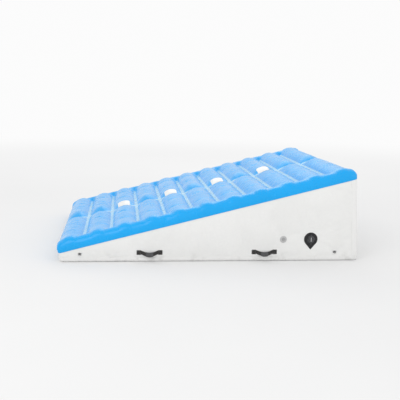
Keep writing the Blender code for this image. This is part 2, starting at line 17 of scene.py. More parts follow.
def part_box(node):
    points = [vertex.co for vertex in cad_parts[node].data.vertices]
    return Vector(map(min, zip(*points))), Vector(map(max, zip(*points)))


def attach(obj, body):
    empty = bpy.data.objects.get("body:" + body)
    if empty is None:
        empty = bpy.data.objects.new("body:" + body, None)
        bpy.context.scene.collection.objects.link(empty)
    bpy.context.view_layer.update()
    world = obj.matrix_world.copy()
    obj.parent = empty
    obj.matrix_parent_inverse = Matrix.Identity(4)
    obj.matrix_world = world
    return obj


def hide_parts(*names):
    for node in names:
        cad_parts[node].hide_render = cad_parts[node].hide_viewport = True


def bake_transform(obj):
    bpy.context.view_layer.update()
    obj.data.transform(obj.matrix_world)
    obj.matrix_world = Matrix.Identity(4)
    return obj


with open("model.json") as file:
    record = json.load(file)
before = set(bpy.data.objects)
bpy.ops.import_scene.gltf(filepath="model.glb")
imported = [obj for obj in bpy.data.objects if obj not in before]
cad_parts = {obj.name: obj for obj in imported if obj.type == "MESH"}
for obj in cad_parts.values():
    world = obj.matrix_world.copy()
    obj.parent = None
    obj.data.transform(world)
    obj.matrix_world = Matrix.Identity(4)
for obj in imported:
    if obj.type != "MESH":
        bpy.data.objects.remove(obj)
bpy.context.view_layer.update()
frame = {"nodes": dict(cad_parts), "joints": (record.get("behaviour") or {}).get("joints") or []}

# The wedge
NOSE_HEIGHT = 0.10
REAR_HEIGHT = 0.70
NOSE_LEAN = 0.02
REAR_LEAN = 0.04
FOOT_HEIGHT = 0.04  # the end walls are upright up to here
GAP = 0.0003  # between pieces that lie on each other
WALL_TURNS = {"near": 0, "rear": 1, "far": 2, "nose": 3}  # quarter turns round the plan, seen from above
SIDES = {"near": -1, "far": 1}
PLACES = ("front", "rear")

# The envelope's skin
SHEET = 0.0012
LAP = 0.033  # the deck's edge is welded down over the walls by this much
LAP_ROWS = 3
WALL_DROP = 0.004  # the walls' sheets end this much below the seam, inside the lap
CORNER = 0.042  # radius of the upright corners, seen from above
CORNER_TAPE = 0.030  # a corner's tape reaches about this far along each wall
FOOT = 0.020  # radius of the edge between the walls and the base
UNDER = 0.028  # the base tape reaches this far under the wedge, past the foot
TAPE_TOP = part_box("base_seam_tape")[1].z
CELL = 0.0145  # size of the simulated sheets' cells
CUT_EDGE = 0.0004  # how far the edge of a cut sheet is rounded
FLOOR_CLEAR = 0.0001

# The quilted deck
PILLOWS = 11
PILLOW_CELLS = 16
CROWN = 0.067  # of the blown-up pillows, a little over the crown of the CAD panel
VALLEY = 0.012
MARGIN = 0.16  # the pillows end this far from the side walls
PINCH = 0.15  # the pillows come down to the centre valley over this length
PINCH_SHARE = 0.7  # how far down they come
ROLL = 0.075  # the deck rolls down to the side walls over this length, and to the end walls over END_ROLL
END_ROLL = 0.055
MARGIN_ARCH = 0.75  # the margin never lies lower than this share of a pillow's arch
WELD = 0.010  # half width of the welds along the valleys
WELD_FADE = 0.012  # a weld's pale tint, a painted highlight, fades out over this width, or over CROSS_FADE at a cross valley
CROSS_FADE = 0.008
PATCH_CORNER = 0.018

# Handles
STRAP_SPAN = 0.133
STRAP_WIDTH = 0.030
STRAP_THICKNESS = 0.0022
STRAP_SAG = 0.016
STRAP_BOW = 0.020  # how far the strap's middle stands out from its ends
STRAP_TIP = 0.010  # how much further its lower edge stands out than its upper one
STRAP_ROUNDNESS = 1.2
GRIP_HALF = 0.029  # half the length of the sleeve round the strap's middle
TAB_MIDDLE, TAB_HALF = 0.0845, 0.0175  # of the webbing's sewn end, from the handle's middle
TAB_HALF_HEIGHT = 0.0185
TAB_RISE = 0.0045  # the sewn end's face, out from the wall
STITCH = 0.0032
STITCH_GAP = 0.0012
THREAD_RADIUS = 0.00038

# Light and camera
WORLD_LIGHT = 0.97
CAMERA_ROLL = 0.9  # degrees, so that the foot of the near wall lies level

base_low, base_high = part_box("base_panel")
SIDE = base_high.y
NOSE_FOOT_X, REAR_FOOT_X = base_low.x, base_high.x
NOSE_SEAM = Vector((NOSE_FOOT_X - NOSE_LEAN, 0, NOSE_HEIGHT))
REAR_SEAM = Vector((REAR_FOOT_X - REAR_LEAN, 0, REAR_HEIGHT))
SLOPE_LENGTH = (REAR_SEAM - NOSE_SEAM).length
UP_SLOPE = (REAR_SEAM - NOSE_SEAM).normalized()
DECK_NORMAL = Vector((-UP_SLOPE.z, 0, UP_SLOPE.x))
SLOPE = UP_SLOPE.z / UP_SLOPE.x
PITCH = SLOPE_LENGTH / PILLOWS
JOINTS = {joint["name"]: joint for joint in frame["joints"]}


def box_middle(name):
    """The middle of a CAD node's box, and half its size."""
    low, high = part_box(name)
    return (low + high) / 2, (high - low) / 2


# Node trees

def node(tree, kind, inputs=None, **settings):
    """Adds a shader node. An input's value is a number, a colour or another node's socket."""
    made = tree.nodes.new("ShaderNode" + kind)
    for key, value in settings.items():
        setattr(made, key, value)
    for key, value in (inputs or {}).items():
        if isinstance(value, bpy.types.NodeSocket):
            tree.links.new(value, made.inputs[key])
        else:
            made.inputs[key].default_value = value
    return made


def maths(tree, operation, *values):
    return node(tree, "Math", dict(enumerate(values)), operation=operation).outputs[0]


def product(tree, first, *others):
    for other in others:
        first = maths(tree, "MULTIPLY", first, other)
    return first


def ramp(tree, value, low, high, start=0.0, end=1.0):
    """Goes smoothly from start to end as value goes from low to high."""
    inputs = {"Value": value, "From Min": low, "From Max": high, "To Min": start, "To Max": end}
    return node(tree, "MapRange", inputs, interpolation_type="SMOOTHSTEP").outputs[0]


def mix_colour(tree, share, first, second):
    inputs = {0: share, 6: first, 7: second}
    return node(tree, "Mix", inputs, data_type="RGBA").outputs[2]


def noise(tree, place, scale, detail=3.0, roughness=0.55):
    inputs = {"Vector": place, "Scale": scale, "Detail": detail, "Roughness": roughness}
    return node(tree, "TexNoise", inputs).outputs[0]


def bands(tree, place, axis, spacing, distortion=0.0):
    """Sine bands a spacing apart along an axis."""
    scale = math.pi / 10 / spacing
    inputs = {"Vector": place, "Scale": scale, "Distortion": distortion, "Detail Scale": 1.5}
    return node(tree, "TexWave", inputs, bands_direction=axis).outputs["Fac"]


def bumps(tree, layers):
    """Stacks bump nodes, one for each (height, depth in metres), and returns the normal."""
    normal = None
    for height, depth in layers:
        inputs = {"Height": height, "Distance": depth, "Strength": 1.0}
        if normal:
            inputs["Normal"] = normal
        normal = node(tree, "Bump", inputs).outputs[0]
    return normal


def shader(name):
    material = bpy.data.materials.new(name)
    material.use_nodes = True
    tree = material.node_tree
    return material, tree, tree.nodes["Principled BSDF"]


def connect(tree, principled, **values):
    for key, value in values.items():
        socket = principled.inputs[key.replace("_", " ").title().replace("Ior", "IOR")]
        if isinstance(value, bpy.types.NodeSocket):
            tree.links.new(value, socket)
        else:
            socket.default_value = value


def add_bump(tree, principled, height, depth):
    """One more bump on top of those that a material has."""
    normal = principled.inputs["Normal"].links[0].from_socket
    inputs = {"Height": height, "Distance": depth, "Normal": normal}
    connect(tree, principled, normal=node(tree, "Bump", inputs).outputs[0])


def shaded(colour, factor):
    return (*(channel * factor for channel in colour), 1)


def sheet_place(tree):
    """Metres along and across a sheet, as it lay before it was inflated."""
    return node(tree, "UVMap", uv_map="flat").outputs[0]


def object_place(tree):
    return node(tree, "TexCoord").outputs["Object"]


# Materials

def scrim(tree, place, spacing=0.0016):
    """The threads of the polyester cloth that show through its PVC coating."""
    return product(tree, bands(tree, place, "X", spacing), bands(tree, place, "Y", spacing))


def coated_cloth(name, colour, roughness, coat, soil, place_of=sheet_place, relief=1.0, specular=0.5):
    """PVC-coated cloth: thread pattern, faint creases, uneven gloss, and soil near the floor."""
    material, tree, principled = shader(name)
    place = place_of(tree)
    world = object_place(tree)
    cloud = noise(tree, place, 2.6, 4)
    fine = noise(tree, place, 55, 3)
    tone = mix_colour(tree, ramp(tree, cloud, 0.3, 0.7), shaded(colour, 0.965), shaded(colour, 1.015))
    tone = mix_colour(tree, ramp(tree, fine, 0.35, 0.7, 0, 0.35), tone, shaded(colour, 0.95))
    height = node(tree, "SeparateXYZ", {0: world}).outputs[2]
    low = ramp(tree, height, 0.0, 0.11, 1.0, 0.0)
    smear = ramp(tree, noise(tree, world, 9, 6, 0.65), 0.5, 0.8)
    scuffs = product(tree, low, smear, soil)
    tone = mix_colour(tree, scuffs, tone, (0.34, 0.33, 0.31, 1))
    gloss = ramp(tree, noise(tree, place, 6, 5), 0.3, 0.75, roughness - 0.06, roughness + 0.10)
    creases = noise(tree, place, 14, 4, 0.5)
    grain = noise(tree, place, 420, 2)
    thread = 0.00003 * relief
    normal = bumps(tree, [(creases, 0.0009 * relief), (scrim(tree, place), thread), (grain, thread)])
    connect(tree, principled, base_color=tone, roughness=gloss, normal=normal, specular_ior_level=specular)
    connect(tree, principled, coat_weight=coat, coat_roughness=0.16, ior=1.5)
    return material


def deck_cloth(name, colour, valley_highlight_colour):
    """The deck's azure cloth, with its ribbed welds along the valleys, tinted pale as a painted highlight.
    """
    material = coated_cloth(name, colour, 0.25, 0.25, 0.25, relief=0.08, specular=0.26)
    tree = material.node_tree
    principled = tree.nodes["Principled BSDF"]
    place = sheet_place(tree)
    axes = node(tree, "SeparateXYZ", {0: place}).outputs
    across = maths(tree, "ABSOLUTE", axes[1])
    to_valley = maths(tree, "PINGPONG", axes[0], PITCH / 2)
    # No weld lies within half a pillow of the nose or the rear.
    first, fade = PITCH * 0.5, PITCH * 0.1
    inside = product(tree, ramp(tree, axes[0], first, first + fade),
                     ramp(tree, axes[0], SLOPE_LENGTH - first - fade, SLOPE_LENGTH - first, 1, 0))
    tied = ramp(tree, across, SIDE - MARGIN, SIDE - MARGIN + WELD_FADE, 1, 0)
    cross_weld = product(tree, ramp(tree, to_valley, WELD, WELD + CROSS_FADE, 1, 0),
                         product(tree, inside, tied))
    centre_weld = ramp(tree, across, WELD, WELD + WELD_FADE, 1, 0)
    weld = maths(tree, "MAXIMUM", cross_weld, centre_weld)
    ribs = product(tree, bands(tree, place, "DIAGONAL", 0.0022), weld)
    tone = principled.inputs["Base Color"].links[0].from_socket
    # Painted highlight: the welds along the valleys are tinted pale.
    pale = mix_colour(tree, product(tree, weld, 0.7), tone, (*valley_highlight_colour, 1))
    connect(tree, principled, base_color=pale)
    add_bump(tree, principled, ribs, 0.0002)
    return material


def grip_cloth(name, colour):
    """The base: matt cloth embossed with small round studs."""
    material = coated_cloth(name, colour, 0.55, 0.0, 0.6)
    tree = material.node_tree
    inputs = {"Vector": sheet_place(tree), "Scale": 260, "Randomness": 0.0}
    studs = node(tree, "TexVoronoi", inputs).outputs["Distance"]
    add_bump(tree, tree.nodes["Principled BSDF"], ramp(tree, studs, 0.15, 0.4, 1, 0), 0.0006)
    return material


def woven_cloth(name, colour, spacing, depth, roughness, tint):
    """Bare woven cloth or webbing: crossing threads, darker between them in painted shade and lighter on
    them in painted light, with loose fibres.
    """
    material, tree, principled = shader(name)
    place = object_place(tree)
    across = bands(tree, place, "X", spacing)
    along = bands(tree, place, "Z", spacing * 1.6, 0.3)
    threads = maths(tree, "MAXIMUM", across, product(tree, along, 0.8))
    fuzz = noise(tree, place, 900, 3)
    worn = noise(tree, place, 45, 4)
    # Painted shade in the gaps between the threads and painted light on their tops.
    tone = mix_colour(tree, threads, shaded(colour, 0.45), shaded(colour, 1.25))
    tone = mix_colour(tree, ramp(tree, worn, 0.45, 0.8, 0, 0.35), tone, (*tint, 1))
    normal = bumps(tree, [(threads, depth), (fuzz, depth * 0.4)])
    gloss = ramp(tree, fuzz, 0.3, 0.7, roughness - 0.1, roughness + 0.1)
    connect(tree, principled, base_color=tone, roughness=gloss, normal=normal)
    connect(tree, principled, sheen_weight=0.35, sheen_roughness=0.4)
    return material


def moulded(name, colour, roughness, edge, metallic=0.0):
    """Moulded plastic or rubber: fine spark texture, handling marks and a paler bloom."""
    material, tree, principled = shader(name)
    place = object_place(tree)
    bloom = ramp(tree, noise(tree, place, 60, 5), 0.45, 0.8, 0, 0.45)
    tone = mix_colour(tree, bloom, (*colour, 1), (*edge, 1))
    spark = noise(tree, place, 1500, 2)
    marks = noise(tree, place, 90, 6, 0.7)
    gloss = ramp(tree, marks, 0.3, 0.8, roughness - 0.08, roughness + 0.14)
    normal = bumps(tree, [(marks, 0.00008), (spark, 0.00004)])
    connect(tree, principled, base_color=tone, roughness=gloss, normal=normal, metallic=metallic)
    return material


def steel_wire(name, colour, roughness):
    """Drawn steel: lengthwise polishing lines, dull spots and a little tarnish."""
    material, tree, principled = shader(name)
    place = object_place(tree)
    lines = noise(tree, place, 700, 4, 0.7)
    tarnish = ramp(tree, noise(tree, place, 120, 5), 0.5, 0.75, 0, 0.6)
    tone = mix_colour(tree, tarnish, (*colour, 1), (0.32, 0.29, 0.25, 1))
    gloss = ramp(tree, lines, 0.3, 0.75, roughness - 0.1, roughness + 0.18)
    normal = bumps(tree, [(lines, 0.00003)])
    connect(tree, principled, base_color=tone, roughness=gloss, normal=normal, metallic=1.0)
    return material


# The second colour is the highlight painted along the welded valleys.
AZURE = deck_cloth("azure coated cloth", (0.0, 0.385, 0.87), (0.50, 0.78, 0.90))
WALL = coated_cloth("white coated cloth", (0.83, 0.83, 0.818), 0.36, 0.25, 0.5)
TAPE = coated_cloth("white tape", (0.83, 0.83, 0.82), 0.32, 0.35, 0.6)
PATCH = coated_cloth("white patch", (0.82, 0.82, 0.81), 0.34, 0.35, 0.5, object_place)
DECK_PATCH = coated_cloth("white deck patch", (0.84, 0.84, 0.83), 0.34, 0.35, 0.4)
BLACK = coated_cloth("black patch", (0.020, 0.020, 0.022), 0.46, 0.05, 0.2, object_place, specular=0.25)
BASE = grip_cloth("grey grip cloth", (0.66, 0.67, 0.68))
WEBS = woven_cloth("bare web cloth", (0.74, 0.74, 0.71), 0.0011, 0.0002, 0.75, (0.66, 0.65, 0.60))
WEBBING = woven_cloth("black webbing", (0.018, 0.016, 0.016), 0.0015, 0.0004, 0.66, (0.050, 0.044, 0.040))
KEEPER = woven_cloth("grey webbing", (0.15, 0.15, 0.155), 0.0012, 0.0003, 0.66, (0.22, 0.22, 0.22))
THREAD = woven_cloth("grey thread", (0.16, 0.155, 0.15), 0.0005, 0.0001, 0.6, (0.22, 0.21, 0.20))
SLEEVE = moulded("rubber sleeve", (0.055, 0.055, 0.058), 0.42, (0.10, 0.10, 0.105))
DARK = moulded("dark moulded plastic", (0.040, 0.041, 0.045), 0.30, (0.085, 0.087, 0.092))
# Light grey that paints the highlight along the finger bar of the valve's dark lid.
BAR_HIGHLIGHT_GREY = moulded("grey plastic, painted highlight", (0.42, 0.42, 0.425), 0.38, (0.50, 0.50, 0.50))
GREY = moulded("grey moulded plastic", (0.50, 0.50, 0.50), 0.40, (0.60, 0.60, 0.59))
RUBBER = moulded("seal rubber", (0.018, 0.018, 0.018), 0.62, (0.05, 0.05, 0.05))
STEEL = steel_wire("ring steel", (0.60, 0.60, 0.59), 0.24)
SPRING = steel_wire("spring steel", (0.52, 0.52, 0.50), 0.30)


# Making of pieces

def new_object(name, data):
    obj = bpy.data.objects.new(name, data)
    bpy.context.scene.collection.objects.link(obj)
    return obj


def evaluated_mesh(obj):
    graph = bpy.context.evaluated_depsgraph_get()
    return bpy.data.meshes.new_from_object(obj.evaluated_get(graph))


def piece(name, mesh, material, body="bladder", stands_for=(), smooth=42):
    """A mesh as a named piece on a CAD body, smooth over its round parts up to an angle in degrees."""
    obj = new_object(name, mesh)
    mesh.materials.append(material)
    mesh.shade_smooth()
    mesh.set_sharp_from_angle(angle=math.radians(smooth))
    if body:
        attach(obj, body)
    if stands_for:
        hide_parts(*stands_for)
    return obj


def finished(bm, name):
    mesh = bpy.data.meshes.new(name)
    bm.to_mesh(mesh)
    bm.free()
    return mesh


def skin(obj, thickness, offset=-1.0, bevel=0.0):
    """Gives a sheet its thickness, and rounds its cut edge."""
    solidify = obj.modifiers.new("Skin", "SOLIDIFY")
    solidify.thickness = thickness
    solidify.offset = offset
    solidify.use_even_offset = True
    if bevel:
        add_bevel(obj, bevel)


def add_bevel(obj, width):
    bevel = obj.modifiers.new("Edge", "BEVEL")
    bevel.width = width
    bevel.segments = 2
    bevel.limit_method = "ANGLE"
    bevel.angle_limit = math.radians(42)


def apply_modifiers(obj):
    mesh = evaluated_mesh(obj)
    obj.modifiers.clear()
    obj.data = mesh


def grid_sheet(name, places, flat):
    """A sheet of quads through an array of places, with its flat cut in metres as a UV map."""
    columns, rows = places.shape[:2]
    mesh = bpy.data.meshes.new(name)
    corners = [
        (i * rows + j, (i + 1) * rows + j, (i + 1) * rows + j + 1, i * rows + j + 1)
        for i in range(columns - 1)
        for j in range(rows - 1)
    ]
    mesh.from_pydata(places.reshape(-1, 3).tolist(), [], corners)
    layer = mesh.uv_layers.new(name="flat")
    loops = np.zeros(len(mesh.loops), np.int32)
    mesh.loops.foreach_get("vertex_index", loops)
    layer.data.foreach_set("uv", flat.reshape(-1, 2)[loops].astype(np.float32).ravel())
    return mesh


def joined_sheet(name, strips):
    """A sheet of strips of (places, flat) that lie end to end. Where two meet they share a column."""
    places, flats, start = [], [], 0.0
    for index, (strip, flat) in enumerate(strips):
        flat[..., 0] += start
        start = flat[-1, 0, 0]
        first = min(index, 1)
        places.append(strip[first:])
        flats.append(flat[first:])
    return grid_sheet(name, np.concatenate(places), np.concatenate(flats))


def drawn_sheet(name, columns, rows, place_of):
    """A sheet whose place and flat cut are given for each share of its length and of its width."""
    lines = [[place_of(i / columns, j / rows) for j in range(rows + 1)] for i in range(columns + 1)]
    places, flat = (np.array([[tuple(pair[k]) for pair in line] for line in lines]) for k in (0, 1))
    return grid_sheet(name, places, flat)


PVC_CLOTH = {
    "quality": 6, "mass": 0.3, "use_pressure": True, "vertex_group_mass": "held", "pin_stiffness": 1,
    "tension_stiffness": 40, "compression_stiffness": 40, "shear_stiffness": 20, "bending_stiffness": 0.6,
    "tension_damping": 10, "compression_damping": 10, "shear_damping": 10, "bending_damping": 1,
}


def inflate(obj, held, pressure, slack, limit):
    """Blows a sheet up between its held points.

    slack is the share by which it was cut too large, and no point moves further than limit."""
    group = obj.vertex_groups.new(name="held")
    group.add(np.flatnonzero(held.ravel()).tolist(), 1.0, "REPLACE")
    count = len(obj.data.vertices)
    start = np.zeros(count * 3, np.float32)
    obj.data.vertices.foreach_get("co", start)
    cloth = obj.modifiers.new("Air", "CLOTH")
    for key, value in PVC_CLOTH.items():
        setattr(cloth.settings, key, value)
    cloth.settings.uniform_pressure_force = pressure
    cloth.settings.shrink_min = -slack
    cloth.settings.effector_weights.gravity = 0
    cloth.collision_settings.use_collision = False
    scene = bpy.context.scene
    for step in range(20):
        scene.frame_set(step + 1)
    graph = bpy.context.evaluated_depsgraph_get()
    blown = np.zeros(count * 3, np.float32)
    obj.evaluated_get(graph).data.vertices.foreach_get("co", blown)
    obj.modifiers.remove(cloth)
    move = (blown - start).reshape(-1, 3)
    reach = np.linalg.norm(move, axis=1)
    move *= (np.minimum(reach, limit) / np.maximum(reach, 1e-9))[:, None]
    obj.data.vertices.foreach_set("co", start + move.ravel())
    obj.vertex_groups.remove(group)
    scene.frame_set(1)


# The envelope's shape, before it is blown up

def end_x(end, z):
    """Outer face of an end wall at a height. end is -1 nose, 1 rear."""
    foot_x, seam = (REAR_FOOT_X, REAR_SEAM) if end > 0 else (NOSE_FOOT_X, NOSE_SEAM)
    share = (min(z, seam.z) - FOOT_HEIGHT) / (seam.z - FOOT_HEIGHT)
    return foot_x + (seam.x - foot_x) * max(0, share)


def seam_height(x):
    return NOSE_HEIGHT + SLOPE * (x - NOSE_SEAM.x)


def plan_place(wall, station, z, inset=0.0):
    """A point of the rounded outline at a height. A wall's straight part has stations 0 to 1, and its
    share of the two corners goes on to -1 and to 2."""
    radius = CORNER - inset
    x = (end_x(-1, z) + CORNER, end_x(1, z) - CORNER)
    y = (CORNER - SIDE, SIDE - CORNER)
    centres = [Vector((x[i], y[j])) for i, j in ((0, 0), (1, 0), (1, 1), (0, 1))]
    turn = WALL_TURNS[wall]
    first, second = centres[turn], centres[(turn + 1) % 4]
    along = (second - first).normalized()
    outwards = Vector((along.y, -along.x))
    share = min(1, max(0, station))
    bend = (station - share) * math.pi / 4
    middle = first + (second - first) * share
    return middle + radius * (outwards * math.cos(bend) + along * math.sin(bend))


def wall_top(wall, station):
    """Height of the seam between a wall and the deck."""
    z = REAR_HEIGHT / 2
    for _ in range(8):
        z = seam_height(plan_place(wall, station, z).x)
    return z


def foot_profile(count):
    """(inset, height) pairs round the foot's quarter circle, from under the wedge up to its side."""
    angles = [math.pi / 2 * i / count for i in range(count + 1)]
    return [(FOOT * (1 - math.sin(a)), FOOT * (1 - math.cos(a))) for a in angles]


def wall_grid(wall, stations, rows, out=0.0, low=None, high=None, under=0.0, drop=0.0):
    """Places and flat cut of a wall's sheet, or of a tape that lies out from it.

    It goes up to high, or to a drop below the seam. It starts at low, or else at the floor, where it turns
    round the foot and may reach under the wedge."""
    profile = foot_profile(5) if low is None else []
    if under:
        profile.insert(0, (FOOT + under, 0.0))
    bottom = FOOT if low is None else low
    places, flat = [], []
    travelled, last = 0.0, None
    for station in stations:
        top = wall_top(wall, station) - drop if high is None else high
        straight = [(0.0, bottom + (top - bottom) * j / rows) for j in range(len(profile) > 0, rows + 1)]
        line, cut, climbed, before = [], [], 0.0, None
        for inset, z in profile + straight:
            plan = plan_place(wall, station, z, inset - out)
            # Round the foot, what lies furthest out on the wall comes to lie lowest.
            lift = (SHEET + GAP + FLOOR_CLEAR - out) * (1 - min(1.0, z / FOOT))
            point = Vector((plan.x, plan.y, z + lift))
            climbed += (point - before).length if before else 0
            before = point
            line.append(tuple(point))
            cut.append(climbed)
        edge = before.xy
        travelled += (edge - last).length if last else 0
        last = edge
        places.append(line)
        flat.append([(travelled, c) for c in cut])
    return np.array(places), np.array(flat)


def wall_length(wall):
    """Length of a wall's straight part."""
    return (plan_place(wall, 1, FOOT_HEIGHT) - plan_place(wall, 0, FOOT_HEIGHT)).length


def wall_stations(wall):
    corner_steps = 4
    straight = round(wall_length(wall) / CELL)
    stations = [-1 + i / corner_steps for i in range(corner_steps)]
    stations += [i / straight for i in range(straight + 1)]
    return stations + [1 + (i + 1) / corner_steps for i in range(corner_steps)]


def fitting_boxes(side_name):
    """The boxes of what is welded to a side wall. The wall stays flat under them."""
    names = [f"{side_name}_{place}_{kind}" for place in PLACES for kind in ("handle_patch", "anchor_patch")]
    if side_name == "near":
        names += ["valve_patch", "relief_body"]
    return [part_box(name) for name in names]


def make_wall(wall):
    rows = 8 if wall == "nose" else 46
    places, flat = wall_grid(wall, wall_stations(wall), rows, drop=WALL_DROP)
    obj = piece(f"{wall}_wall_sheet", grid_sheet(wall, places, flat), WALL)
    x, y, z = (places[:, :, k] for k in range(3))
    # The cloth is held under the tapes, the lap and the fittings, and a little past them.
    held = z < TAPE_TOP + 0.003
    held |= z > z[:, -1:] - LAP - 0.008
    if wall in SIDES:
        from_end = np.minimum(x - end_x(-1, 1), end_x(1, 1) - x)
    else:
        from_end = SIDE - np.abs(y)
    held |= from_end < CORNER_TAPE + 0.004
    if wall in SIDES:
        for low, high in fitting_boxes(wall):
            past = 0.007
            inside = (x > low.x - past) & (x < high.x + past)
            held |= inside & (z > low.z - past) & (z < high.z + past)
    inflate(obj, held, pressure=1.2, slack=0.004, limit=0.014)
    return obj


def cut_hole(obj, centre, radius):
    """Cuts a round hole through a side wall."""
    bm = bmesh.new()
    place = Matrix.Translation(centre) @ Matrix.Rotation(math.pi / 2, 4, "X")
    bmesh.ops.create_cone(
        bm, cap_ends=True, segments=64, radius1=radius, radius2=radius, depth=0.1, matrix=place
    )
    cutter = new_object("hole", finished(bm, "hole"))
    boolean = obj.modifiers.new("Hole", "BOOLEAN")
    boolean.operation = "DIFFERENCE"
    boolean.object = cutter
    boolean.solver = "EXACT"
    apply_modifiers(obj)
    bpy.data.objects.remove(cutter)


def make_walls():
    """The four walls' sheets, the near one with the holes of its valves."""
    for wall in ("near", "far", "rear", "nose"):
        obj = make_wall(wall)
        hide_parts(f"{wall}_side_wall" if wall in SIDES else f"{wall}_wall")
        skin(obj, SHEET)
        if wall == "near":
            for name, radius in (("valve_body", 0.0240), ("relief_body", 0.0180)):
                middle = box_middle(name)[0]
                cut_hole(obj, Vector((middle.x, -SIDE, middle.z)), radius)


# The deck

def deck_rise(along, y):
    """Height of the deck above the plane of its seams, as the sheet is cut."""
    phase = along / PITCH % 1
    arch = 1 - (2 * phase - 1) ** 2
    pinch = 1 - PINCH_SHARE * (1 - np.minimum(1, np.abs(y) / PINCH)) ** 2
    quilted = VALLEY + (CROWN - VALLEY) * arch * pinch
    from_wall = SIDE - np.abs(y)
    tied = np.clip((from_wall - ROLL) / (MARGIN - ROLL), 0, 1)
    tied = tied * tied * (3 - 2 * tied)
    edge = VALLEY + (CROWN - VALLEY) * np.maximum(MARGIN_ARCH, arch)
    rise = edge + (quilted - edge) * tied
    roll = np.sqrt(1 - (1 - np.minimum(1, from_wall / ROLL)) ** 2)
    to_end = np.minimum(along, SLOPE_LENGTH - along)
    end_roll = np.sqrt(1 - (1 - np.minimum(1, to_end / END_ROLL)) ** 2)
    return rise * roll * end_roll


def deck_lines():
    """Where the deck's columns lie: even, but closer together round the corners."""
    corner = CORNER / UP_SLOPE.x
    bend = [corner * (1 - math.cos(math.pi / 2 * i / 5)) for i in range(5)]
    step = PITCH / PILLOW_CELLS
    first = math.ceil(corner / step)
    even = [step * i for i in range(first, PILLOWS * PILLOW_CELLS - first + 1)]
    return np.array(bend + even + [SLOPE_LENGTH - b for b in reversed(bend)])


def make_deck():
    """The quilted deck: a cut sheet, blown up between its edges and its welded valleys."""
    lines = deck_lines()
    half_rows = round(SIDE / CELL)
    shares = np.linspace(-1, 1, 2 * half_rows + 1)
    to_end = np.minimum(lines, SLOPE_LENGTH - lines) * UP_SLOPE.x
    round_off = CORNER - np.sqrt(CORNER**2 - np.maximum(0, CORNER - to_end) ** 2)
    along = np.repeat(lines[:, None], len(shares), 1)
    y = (SIDE - round_off)[:, None] * shares[None, :]
    # The rows draw together round the corners, but keep their heights.
    rise = deck_rise(along, SIDE * shares[None, :])
    out = SHEET + 3 * GAP
    grow_y = 1 + out / SIDE
    stretch = (along / SLOPE_LENGTH - 0.5) * 2 * out
    places = np.array(NOSE_SEAM) + (along + stretch)[..., None] * np.array(UP_SLOPE)
    places += rise[..., None] * np.array(DECK_NORMAL)
    places[..., 1] = y * grow_y
    mesh = grid_sheet("deck", places, np.stack([along, y], -1))
    obj = piece("deck_sheet", mesh, AZURE, stands_for=["deck_panel"])
    edge = np.zeros(along.shape, bool)
    edge[[0, -1], :] = True
    edge[:, [0, -1]] = True
    offset = np.abs((along / PITCH + 0.5) % 1 - 0.5) * PITCH
    inner = (along > PITCH / 2) & (along < SLOPE_LENGTH - PITCH / 2)
    valleys = (offset < 0.001) & (np.abs(y) <= SIDE - MARGIN) & inner
    centre = np.abs(y) < 0.001
    inflate(obj, edge | valleys | centre, pressure=4.0, slack=0.006, limit=0.010)
    add_lap(obj)
    skin(obj, SHEET)
    smooth = obj.modifiers.new("Smooth", "SUBSURF")
    smooth.levels = smooth.render_levels = 1
    return obj


def add_lap(obj):
    """Extends the deck's edge down over the walls, whose lean it follows."""
    bm = bmesh.new()
    bm.from_mesh(obj.data)
    layer = bm.loops.layers.uv["flat"]
    step = LAP / LAP_ROWS
    edges = [edge for edge in bm.edges if edge.is_boundary]
    for _ in range(LAP_ROWS):
        made = bmesh.ops.extrude_edge_only(bm, edges=edges)["geom"]
        edges = [item for item in made if isinstance(item, bmesh.types.BMEdge)]
        for vert in (item for item in made if isinstance(item, bmesh.types.BMVert)):
            above, below = vert.co.z, vert.co.z - step
            nose, rear = (end_x(end, below) - end_x(end, above) for end in (-1, 1))
            share = (vert.co.x - NOSE_SEAM.x) / (REAR_SEAM.x - NOSE_SEAM.x)
            vert.co.x += nose + (rear - nose) * share
            vert.co.z = below
            for loop in vert.link_loops:
                u, v = loop[layer].uv
                if 1e-4 < u < SLOPE_LENGTH - 1e-4:
                    v += math.copysign(step, v)
                else:
                    u += math.copysign(step, u - SLOPE_LENGTH / 2)
                loop[layer].uv = (u, v)
        edges = [edge for edge in edges if edge.is_boundary]
    bmesh.ops.recalc_face_normals(bm, faces=bm.faces)
    bm.to_mesh(obj.data)
    bm.free()
    obj.data.shade_smooth()


def make_deck_patches(deck):
    """White patches welded over the centre valley. Each follows the inflated cloth under it."""
    tree = BVHTree.FromObject(deck, bpy.context.evaluated_depsgraph_get())
    for number in range(1, 5):
        cad_node = f"deck_patch_{number}"
        middle, half = box_middle(cad_node)
        half_along = PITCH / 4
        centre = (Vector((middle.x, 0, middle.z)) - NOSE_SEAM).dot(UP_SLOPE)

        def place_of(length_share, width_share):
            u, v = 2 * length_share - 1, 2 * width_share - 1
            from_end = half_along * (1 - abs(u))
            round_off = PATCH_CORNER - math.sqrt(PATCH_CORNER**2 - max(0, PATCH_CORNER - from_end) ** 2)
            y = (half.y - round_off) * v
            above = NOSE_SEAM + UP_SLOPE * (centre + u * half_along) + DECK_NORMAL * 0.2
            point, normal, _, _ = tree.ray_cast(Vector((above.x, y, above.z)), -DECK_NORMAL)
            return point + normal * GAP, (u * half_along, y)

        mesh = drawn_sheet(cad_node, 20, 36, place_of)
        obj = piece(f"{cad_node}_cloth", mesh, DECK_PATCH, stands_for=[cad_node])
        skin(obj, SHEET, 1.0, CUT_EDGE)


# The base and the tapes

